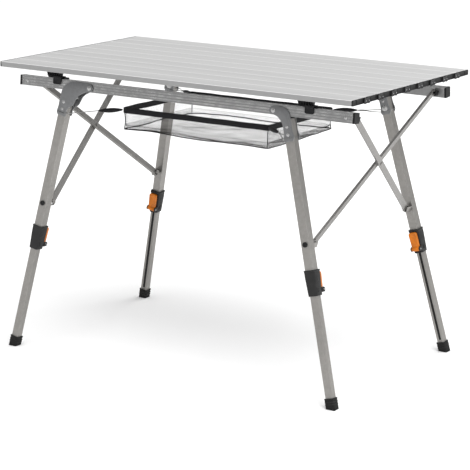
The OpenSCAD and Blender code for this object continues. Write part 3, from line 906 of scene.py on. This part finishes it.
def makeClamp(top, low, pinY, pinZ, tubeHalf):
    # a sleeve that narrows downwards, hollow at its mouth, with two ears for the lever's pin
    sizes = clampSizes
    sleeve = startBox((-sizes["topHalf"], -sizes["depthOut"], low),
                      (sizes["topHalf"], sizes["depthIn"], top))
    for height in (top - 0.014, top - 0.003):
        pickPoints(sleeve, lambda co: True)
        bpy.ops.mesh.bisect(plane_co=(0, 0, height), plane_no=(0, 0, 1))
        objectMode()
    pickPoints(sleeve, lambda co: co.z < low + 0.001)
    bpy.ops.transform.resize(value=(sizes["lowHalf"] / sizes["topHalf"], 0.9, 1),
                             center_override=(0, 0, low))
    objectMode()
    bevelEdges(sleeve, sizes["corner"], 4, lambda middle, way: abs(way.z) > 0.9)
    pickFaces(sleeve, lambda middle, normal: normal.z > 0.9)
    bpy.ops.mesh.inset(thickness=sizes["topHalf"] - tubeHalf - 0.0008)
    bpy.ops.mesh.extrude_region_move(TRANSFORM_OT_translate={"value": (0, 0, -0.006)})
    objectMode()
    pickFaces(sleeve, lambda middle, normal: abs(normal.z) < 0.2 and middle.z > top - 0.003
              and max(abs(middle.x), abs(middle.y)) > sizes["topHalf"] * 0.93)
    bpy.ops.mesh.extrude_region_shrink_fatten(TRANSFORM_OT_shrink_fatten={"value": 0.0007})
    objectMode()
    softenEdges(sleeve, 0.0006, 2, 40)
    parts = [sleeve]
    for side in (-1, 1):
        ear = startRod(sizes["earRadius"], (side * 0.0095, pinY, pinZ), (side * 0.0121, pinY, pinZ))
        web = startBox((min(side * 0.0095, side * 0.0121), sizes["depthIn"] - 0.003, pinZ - 0.0054),
                       (max(side * 0.0095, side * 0.0121), pinY, pinZ + 0.0054))
        for part in (ear, web):
            softenEdges(part, 0.0006, 2)
        parts += [ear, web]
        for z in (top - 0.020, low + 0.012):  # shallow ribs down the sides
            rib = startBox((side * sizes["topHalf"] * 0.93 - 0.0008, -0.006, z - 0.0045),
                           (side * sizes["topHalf"] * 0.93 + 0.0008, 0.004, z + 0.0045))
            parts.append(softenEdges(rib, 0.0007, 2))
    step = startBox((-0.006, sizes["depthIn"] - 0.001, low),
                    (0.006, sizes["depthIn"] + 0.003, low + 0.0045))
    parts.append(softenEdges(step, 0.001, 2))
    hood = startBox((-0.0105, sizes["depthIn"] - 0.001, top - 0.0045),
                    (0.0105, sizes["depthIn"] + 0.0035, top - 0.0003))
    parts.append(softenEdges(hood, 0.0012, 3))
    pin = startRod(sizes["pinRadius"], (-0.0128, pinY, pinZ), (0.0128, pinY, pinZ), 24)
    for side in (-1, 1):
        pickFaces(pin, lambda middle, normal: normal.x * side > 0.9)
        bpy.ops.mesh.inset(thickness=0.0006)
        bpy.ops.transform.translate(value=(side * 0.0006, 0, 0))
        objectMode()
    softenEdges(pin, 0.0002, 2)
    return joinPieces(*parts), pin


def makeLever(pinY, pinZ, top, face):
    # the flip lever: hub, a dished blade that thickens upwards and a pull lip
    sizes = leverSizes
    blade = startBox((-sizes["half"], face + 0.0008, pinZ),
                     (sizes["half"], face + 0.0008 + sizes["thick"], top))
    bevelEdges(blade, 0.005, 5, lambda middle, way: abs(way.y) > 0.9 and middle.z > top - 0.001)
    pickPoints(blade, lambda co: co.z > top - 0.006 and co.y > face + 0.004)
    bpy.ops.transform.translate(value=(0, sizes["lip"], 0))
    objectMode()
    pickFaces(blade, lambda middle, normal: normal.y > 0.8)
    bpy.ops.mesh.inset(thickness=0.0024, depth=-0.0007)
    objectMode()
    softenEdges(blade, 0.0008, 3, 40)
    hub = startRod(sizes["hubRadius"], (-sizes["half"], pinY, pinZ), (sizes["half"], pinY, pinZ))
    softenEdges(hub, 0.0005, 2)
    ribs = [startBox((-0.0062, face + 0.0008 + sizes["thick"] - 0.0009, z),
                     (0.0062, face + sizes["thick"] + 0.0011, z + 0.0012))
            for z in (top - 0.0145, top - 0.0115)]
    for rib in ribs:
        softenEdges(rib, 0.0003, 2)
    return joinPieces(blade, hub, *ribs)


footSizes = {"wall": 0.0021, "corner": 0.003, "ringStep": 0.0055}


def makeFoot(low, high):
    # a rubber boot with a rolled mouth and two grip rings, cut level with the ground afterwards
    foot = startBox(low, high)
    bevelEdges(foot, footSizes["corner"], 4, lambda middle, way: abs(way.z) > 0.9)
    pickFaces(foot, lambda middle, normal: normal.z > 0.9)
    bpy.ops.mesh.inset(thickness=footSizes["wall"])
    bpy.ops.mesh.extrude_region_move(TRANSFORM_OT_translate={"value": (0, 0, -0.008)})
    objectMode()
    levels = [high.z - 0.0022, high.z - 0.0046]
    levels += [high.z - 0.0046 - footSizes["ringStep"] * step for step in (0.5, 0.8, 1.4, 1.7)]
    for level in levels:
        pickPoints(foot, lambda co: True)
        bpy.ops.mesh.bisect(plane_co=(0, 0, level), plane_no=(0, 0, 1))
        objectMode()
    bands = [(levels[0], high.z), (levels[3], levels[2]), (levels[5], levels[4])]
    middle = (low + high) / 2
    reach = (high.x - low.x) / 2 * 0.93

    def outside(center):
        return max(abs(center.x - middle.x), abs(center.y - middle.y)) > reach

    pickFaces(foot, lambda center, normal: abs(normal.z) < 0.3 and outside(center)
              and any(a < center.z < b for a, b in bands))
    bpy.ops.mesh.extrude_region_shrink_fatten(TRANSFORM_OT_shrink_fatten={"value": 0.0006})
    objectMode()
    return softenEdges(foot, 0.0005, 2, 40)


def cutLevel(piece):
    pickPoints(piece, lambda co: True)
    bpy.ops.mesh.bisect(plane_co=(0, 0, 0.0001), plane_no=(0, 0, 1), clear_inner=True, use_fill=True)
    objectMode()


def makeLegs():
    tubeHalf = 0.010
    plug = dress(keepPlace(makePlug()), "capPlastic")
    for key in legKeys:
        space, arm = legSpaces[key], arms[key]
        finishNode("upper_tube_" + key, "legAluminiumPlain", 0.0012, 3)
        finishNode("lower_tube_" + key, "legAluminiumPlain", 0.0008, 2)
        finishNode("strip_" + key, "stripRubberPlain", 0.0003, 2)
        clampLow, clampHigh = boxIn(space, "clamp_" + key)
        leverLow, leverHigh = boxIn(space, "lever_" + key)
        pinY, pinZ = 0.0196, leverLow.z + leverSizes["hubRadius"]
        clamp, pin = makeClamp(clampHigh.z, clampLow.z, pinY, pinZ, tubeHalf)
        lever = makeLever(pinY, pinZ, leverHigh.z, clampSizes["depthIn"])
        centre = Matrix.Translation((-arm, 0, 0))
        for piece, material, name, body, node in (
                (clamp, "clampPlastic", "clamp_sleeve_", "leg_", "clamp_"),
                (pin, "rivetSteel", "clamp_pin_", "leg_", None),
                (lever, "leverPlastic", "flip_lever_", "lever_", "lever_")):
            made = copyTo(dress(keepPlace(piece), material), name + key, space @ centre)
            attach(made, body + key)
            if node:
                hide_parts(node + key)
            discard(piece)
        low, high = boxIn(space, "foot_" + key)
        footLow, footHigh = Vector(low) - Vector((0, 0, 0.004)), Vector(high)
        boot = dress(keepPlace(makeFoot(footLow, footHigh)), "footRubber")
        foot = copyTo(boot, "foot_boot_" + key, space)
        discard(boot)
        cutLevel(foot)
        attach(foot, "extension_" + key)
        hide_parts("foot_" + key)
        boltZ = clampHigh.z + 0.054
        made = copyTo(plug, "leg_plug_" + key, space @ Matrix.Translation((-arm, -tubeHalf, boltZ)))
        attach(made, "leg_" + key)
    discard(plug)


def makePlug():
    # the black plug over a bolt, on a leg's outer face
    plug = startRod(0.0056, (0, 0.0002, 0), (0, -0.0026, 0))
    pickFaces(plug, lambda middle, normal: normal.y < -0.9)
    bpy.ops.mesh.inset(thickness=0.0012)
    bpy.ops.transform.translate(value=(0, -0.0006, 0))
    bpy.ops.mesh.inset(thickness=0.0012)
    bpy.ops.transform.translate(value=(0, 0.0008, 0))
    objectMode()
    return softenEdges(plug, 0.0003, 2)


makeLegs()
print("legs done")


# ---- scissor bars ----

for key in legKeys:
    finishNode("bar_" + key, "barAluminiumPlain", 0.0009, 2)
print("scissor bars done")


# ---- basket ----

basketSizes = {"corner": 0.006, "tapeThick": 0.0026, "meshDiagonal": 0.0056, "strand": 0.00046,
               "floorStrand": 0.00030, "bow": 0.004,
               "sag": 0.0045, "wave": 0.0034, "pipe": 0.0012, "tapeOver": 0.0010, "tapeUnder": 0.0022,
               "hemHeight": 0.011, "hemStrand": 0.00062}


def ringPoint(low, high, corner, distance):
    # a point and its outward direction on a rounded rectangle, by distance along it
    width, depth = high.x - low.x - 2 * corner, high.y - low.y - 2 * corner
    arc = math.pi * corner / 2
    runs = [(width, Vector((1, 0)), Vector((low.x + corner, low.y))),
            (depth, Vector((0, 1)), Vector((high.x, low.y + corner))),
            (width, Vector((-1, 0)), Vector((high.x - corner, high.y))),
            (depth, Vector((0, -1)), Vector((low.x, high.y - corner)))]
    distance = distance % (2 * (width + depth) + 4 * arc)
    for length, way, start in runs:
        outward = Vector((way.y, -way.x))
        if distance <= length:
            return start + way * distance, outward
        distance -= length
        if distance <= arc:
            turn = distance / corner
            centre = start + way * length - outward * corner
            outward = outward * math.cos(turn) + way * math.sin(turn)
            return centre + outward * corner, outward
        distance -= arc
    return runs[0][2].copy(), Vector((0, -1))


def ringLength(low, high, corner):
    return 2 * (high.x - low.x + high.y - low.y - 4 * corner) + 2 * math.pi * corner


def netDrop(x, y):
    # how the lower seam and the floor rise and fall, in metres
    ripple = noise.noise(Vector((x * 9, y * 9, 0.7))) + 0.5 * noise.noise(Vector((x * 24, y * 24, 3.1)))
    return ripple * basketSizes["wave"]


def diamondSheet(width, height, diagonal):
    # a flat sheet of diamond cells, from (0, 0) to (width, height) in XY
    cell = diagonal / math.sqrt(2)
    count = int(math.ceil((width + height) / cell)) + 4
    deselectAll()
    bpy.ops.mesh.primitive_grid_add(x_subdivisions=count, y_subdivisions=count, size=count * cell)
    sheet = bpy.context.object
    sheet.data.transform(Matrix.Rotation(math.pi / 4, 4, "Z"))
    middleX = round(width / 2 / diagonal) * diagonal
    middleY = round(height / 2 / diagonal) * diagonal
    sheet.data.transform(Matrix.Translation((middleX, middleY, 0)))
    for place, way in (((0, 0, 0), (-1, 0, 0)), ((width, 0, 0), (1, 0, 0)),
                       ((0, 0, 0), (0, -1, 0)), ((0, height, 0), (0, 1, 0))):
        pickPoints(sheet, lambda co: True)
        bpy.ops.mesh.bisect(plane_co=place, plane_no=way, clear_outer=True)
        objectMode()
    return sheet


def knotNet(sheet, name, strand):
    # strands of real thickness along the sheet's edges
    makeActive(sheet)
    wire = sheet.modifiers.new("strands", "WIREFRAME")
    wire.thickness = strand
    wire.use_even_offset = False
    wire.use_boundary = True
    bpy.ops.object.modifier_apply(modifier=wire.name)
    sheet.name = sheet.data.name = name
    bpy.ops.object.shade_smooth()
    return dress(keepPlace(sheet), "netYarn")


def makeNetWalls(low, high, top, bottom, name, strand):
    corner = basketSizes["corner"]
    around = ringLength(low, high, corner)
    diagonal = around / round(around / basketSizes["meshDiagonal"])
    height = top - bottom
    walls = diamondSheet(around, height, diagonal)
    for point in walls.data.vertices:
        share = point.co.y / height
        place, outward = ringPoint(low, high, corner, point.co.x)
        drop = netDrop(place.x, place.y) * (1 - share)
        bulge = (math.sin(math.pi * share) * basketSizes["bow"]
                 * (0.6 + noise.noise(Vector((place.x * 14, place.y * 14, 5)))))
        place = place - outward * bulge
        point.co = (place.x, place.y, bottom + height * share + drop)
    pickPoints(walls, lambda co: True)
    bpy.ops.mesh.remove_doubles(threshold=0.0002)
    objectMode()
    return knotNet(walls, name, strand)


def makeNetFloor(low, high, bottom):
    width, depth = high.x - low.x, high.y - low.y
    floor = diamondSheet(width, depth, basketSizes["meshDiagonal"])
    corner = basketSizes["corner"]
    for point in floor.data.vertices:
        x, y = low.x + point.co.x, low.y + point.co.y
        edge = min(point.co.x, width - point.co.x, point.co.y, depth - point.co.y)
        inward = min(edge / 0.05, 1)
        # corners drawn in to the rounded outline
        overX = max(corner - point.co.x, point.co.x - width + corner, 0)
        overY = max(corner - point.co.y, point.co.y - depth + corner, 0)
        reach = math.hypot(overX, overY)
        if reach > corner:
            pull = 1 - corner / reach
            x -= math.copysign(overX * pull, x - (low.x + high.x) / 2)
            y -= math.copysign(overY * pull, y - (low.y + high.y) / 2)
        sag = basketSizes["sag"] * inward * inward * (3 - 2 * inward)
        point.co = (x, y, bottom + netDrop(x, y) - sag)
    return knotNet(floor, "basket_mesh_floor", basketSizes["floorStrand"])


def tubeAlong(points, radius, name, material, cyclic=False, sides=2):
    # a round cord through the points, made a mesh
    deselectAll()
    bpy.ops.curve.primitive_nurbs_path_add()
    curve = bpy.context.object
    curve.data.splines.clear()
    spline = curve.data.splines.new("POLY")
    spline.points.add(len(points) - 1)
    for place, point in zip(points, spline.points):
        point.co = (*place, 1)
    spline.use_cyclic_u = cyclic
    curve.data.dimensions = "3D"
    curve.data.bevel_depth = radius
    curve.data.bevel_resolution = sides
    curve.data.use_fill_caps = not cyclic
    bpy.ops.object.convert(target="MESH")
    tube = bpy.context.object
    tube.name = tube.data.name = name
    bpy.ops.object.shade_smooth()
    return dress(keepPlace(settle(tube)), material)


def makePiping(low, high, top, bottom):
    corner = basketSizes["corner"]
    around = ringLength(low, high, corner)
    ring = []
    for step in range(260):
        place, outward = ringPoint(low, high, corner, around * step / 260)
        ring.append((place.x, place.y, bottom + netDrop(place.x, place.y)))
    pieces = [tubeAlong(ring, basketSizes["pipe"], "basket_piping", "pipingCord", True)]
    width, depth, arc = high.x - low.x - 2 * corner, high.y - low.y - 2 * corner, math.pi * corner / 2
    for number, distance in enumerate((width + arc / 2, width + depth + arc * 1.5,
                                       2 * width + depth + arc * 2.5, 2 * width + 2 * depth + arc * 3.5)):
        place, outward = ringPoint(low, high, corner, distance)
        line = []
        for step in range(13):
            share = step / 12
            inset = place - outward * basketSizes["bow"] * 0.5 * math.sin(math.pi * share)
            z = bottom + netDrop(place.x, place.y) + (top - bottom - netDrop(place.x, place.y)) * share
            line.append((inset.x, inset.y, z))
        pieces.append(tubeAlong(line, basketSizes["pipe"] * 0.8, f"corner_piping_{number}", "pipingCord"))
    return joinPieces(*pieces)


def makeBinding(low, high):
    # tape folded over the rim wire: a rounded ring of webbing; its two stitch lines are made by
    # makeStitches
    corner = basketSizes["corner"]
    around = ringLength(low, high, corner)
    deselectAll()
    count = 300
    bpy.ops.mesh.primitive_grid_add(x_subdivisions=count, y_subdivisions=8, size=1)
    tape = bpy.context.object
    for point in tape.data.vertices:
        along, share = (point.co.x + 0.5) * around, point.co.y + 0.5
        place, outward = ringPoint(low, high, corner, along)
        wave = 0.0009 * noise.noise(Vector((place.x * 22, place.y * 22, 8)))
        crown = 0.0005 * math.sin(math.pi * share)
        place = place + outward * (wave + crown)
        point.co = (place.x, place.y, low.z + (high.z - low.z) * share + wave * 0.8)
    pickPoints(tape, lambda co: True)
    bpy.ops.mesh.remove_doubles(threshold=0.00005)
    bpy.ops.mesh.normals_make_consistent(inside=False)
    objectMode()
    makeActive(tape)
    thick = tape.modifiers.new("tapeBody", "SOLIDIFY")
    thick.thickness = basketSizes["tapeThick"]
    thick.offset = -1
    bpy.ops.object.modifier_apply(modifier=thick.name)
    softenEdges(tape, 0.0007, 2, 60)
    tape.name = tape.data.name = "basket_tape"
    return dress(keepPlace(tape), "bindingTape")


def makeStitches(low, high):
    # a row of short stitches near each edge of the tape, outside
    corner = basketSizes["corner"]
    around = ringLength(low, high, corner)
    stitch = startRod(0.00022, (-0.0011, 0, 0), (0.0011, 0, 0), 6)
    rows = []
    for height in (low.z + 0.0016, high.z - 0.0018):
        for step in range(int(around / 0.0042)):
            place, outward = ringPoint(low, high, corner, step * 0.0042)
            turn = math.atan2(outward.y, outward.x) + math.pi / 2
            spot = Vector((place.x + outward.x * 0.0004, place.y + outward.y * 0.0004, height))
            rows.append((Matrix.Translation(spot) @ Matrix.Rotation(turn, 4, "Z")))
    copies = [copyTo(stitch, "stitch", matrix) for matrix in rows]
    discard(stitch)
    row = joinPieces(*copies)
    row.name = row.data.name = "basket_stitches"
    return dress(keepPlace(row), "netYarn")


strapSizes = {"length": 0.055, "width": 0.0105, "thick": 0.0076, "start": -0.001}


def makeStrap(start, way, name):
    # a webbing strap gathered to a point at both ends, from start along way
    deselectAll()
    bpy.ops.mesh.primitive_cylinder_add(vertices=28, radius=1, depth=1, end_fill_type="NGON")
    strap = bpy.context.object
    pickEdges(strap, lambda middle, direction: abs(direction.z) > 0.9)
    bpy.ops.mesh.subdivide(number_cuts=22)
    objectMode()
    for point in strap.data.vertices:
        share = point.co.z + 0.5
        angle = math.atan2(point.co.y, point.co.x)
        swell = 0.24 + 0.76 * math.sin(math.pi * min(max(share, 0), 1)) ** 0.8
        pleat = 1 + 0.10 * math.sin(angle * 5 + share * 4) * (1.2 - swell * 0.7)
        point.co = (math.cos(angle) * strapSizes["thick"] / 2 * swell * pleat,
                    math.sin(angle) * strapSizes["width"] / 2 * swell * pleat,
                    share * strapSizes["length"])
    makeActive(strap)
    bpy.ops.object.shade_smooth_by_angle(angle=math.radians(60))
    turn = way.to_track_quat("Z", "Y").to_matrix().to_4x4()
    dress(keepPlace(strap), "strapWebbing")
    made = copyTo(strap, name, Matrix.Translation(start) @ turn)
    discard(strap)
    return made


loopSizes = {"halfX": 0.0123, "halfY": 0.0134, "corner": 0.004, "wire": 0.0006, "points": 64}


def wireLoop(space, arm, z, name):
    # a wire bent square round the leg, just under the bracket's rivets
    halfX, halfY, corner = loopSizes["halfX"], loopSizes["halfY"], loopSizes["corner"]
    low, high = Vector((-arm - halfX, -halfY)), Vector((-arm + halfX, halfY))
    around = ringLength(low, high, corner)
    ring = []
    for step in range(loopSizes["points"]):
        place = ringPoint(low, high, corner, around * step / loopSizes["points"])[0]
        ring.append(space @ Vector((place.x, place.y, z)))
    return tubeAlong(ring, loopSizes["wire"], name, "wireSteel", True)


def makeBasket():
    netLow, netHigh = (Vector(corner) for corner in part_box("basket_net"))
    tapeLow, tapeHigh = (Vector(corner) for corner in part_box("basket_binding"))
    bottom = netLow.z + 0.0026
    low, high = netLow + Vector((0.0008, 0.0008, 0)), netHigh - Vector((0.0008, 0.0008, 0))
    walls = makeNetWalls(low, high, tapeLow.z + 0.003, bottom, "basket_mesh_walls", basketSizes["strand"])
    inset = Vector((0.0016, 0.0016, 0))  # the net is gathered inside the lower seam
    hem = makeNetWalls(low + inset, high - inset, bottom + basketSizes["hemHeight"], bottom, "basket_hem",
                       basketSizes["hemStrand"])
    floor = makeNetFloor(low, high, bottom)
    piping = makePiping(low, high, tapeLow.z + 0.002, bottom)
    piping.name = piping.data.name = "basket_piping"
    bandLow = tapeLow - Vector((0, 0, basketSizes["tapeUnder"]))
    bandHigh = tapeHigh + Vector((0, 0, basketSizes["tapeOver"]))
    tape = makeBinding(bandLow, bandHigh)
    stitches = makeStitches(bandLow, bandHigh)
    for piece in (walls, hem, floor, piping):
        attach(piece, "front_frame")
        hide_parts("basket_net")
    for piece in (tape, stitches):
        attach(piece, "front_frame")
    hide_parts("basket_binding")
    middleZ = (tapeLow.z + tapeHigh.z) / 2
    for key in legKeys:
        left, front = key.endswith("left"), key.startswith("front")
        start = Vector((tapeLow.x if left else tapeHigh.x, tapeLow.y if front else tapeHigh.y, middleZ))
        hookZ = -0.073 if left else -0.063
        arm, space = arms[key], legSpaces[key]
        goal = space @ Vector((-arm, 0, hookZ))
        way = (goal - start).normalized()
        strap = makeStrap(start + way * strapSizes["start"], way, "basket_strap_" + key)
        tip = start + way * (strapSizes["start"] + strapSizes["length"] - 0.002)
        wires = []
        for side in (-1, 1):
            end = space @ Vector((-arm + 0.0112, side * 0.0118, hookZ))
            cross = tip.lerp(end, 0.35)
            sideways = (space.to_3x3() @ Vector((0, 1, 0))) * side * -0.0018
            line = [tip, tip.lerp(cross, 0.5) - sideways, cross + sideways * 0.4,
                    cross.lerp(end, 0.5) - sideways * 1.2, end]
            wires.append(tubeAlong(smoothLine(line, 6), 0.0009, "wire", "wireSteel"))
        hook = joinPieces(*wires)
        hook.name = hook.data.name = "basket_hook_" + key
        loop = wireLoop(space, arm, hookZ, "leg_loop_" + key)
        if front:
            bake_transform(strap)
            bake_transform(hook)
        else:  # the strap and the hook are only baked in place, as at the front
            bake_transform(strap)
            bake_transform(hook)
        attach(loop, "leg_" + key)
        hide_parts("basket_straps")
        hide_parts("basket_hooks")


def smoothLine(points, cuts):
    # points on a curve that passes through the given ones
    line = []
    for index in range(len(points) - 1):
        before = points[max(index - 1, 0)]
        after = points[min(index + 2, len(points) - 1)]
        a, b = points[index], points[index + 1]
        for cut in range(cuts):
            t = cut / cuts
            line.append(0.5 * (2 * a + (b - before) * t + (2 * before - 5 * a + 4 * b - after) * t * t
                               + (3 * a - before - 3 * b + after) * t ** 3))
    line.append(points[-1])
    return line


makeBasket()
print("basket done")

deselectAll()
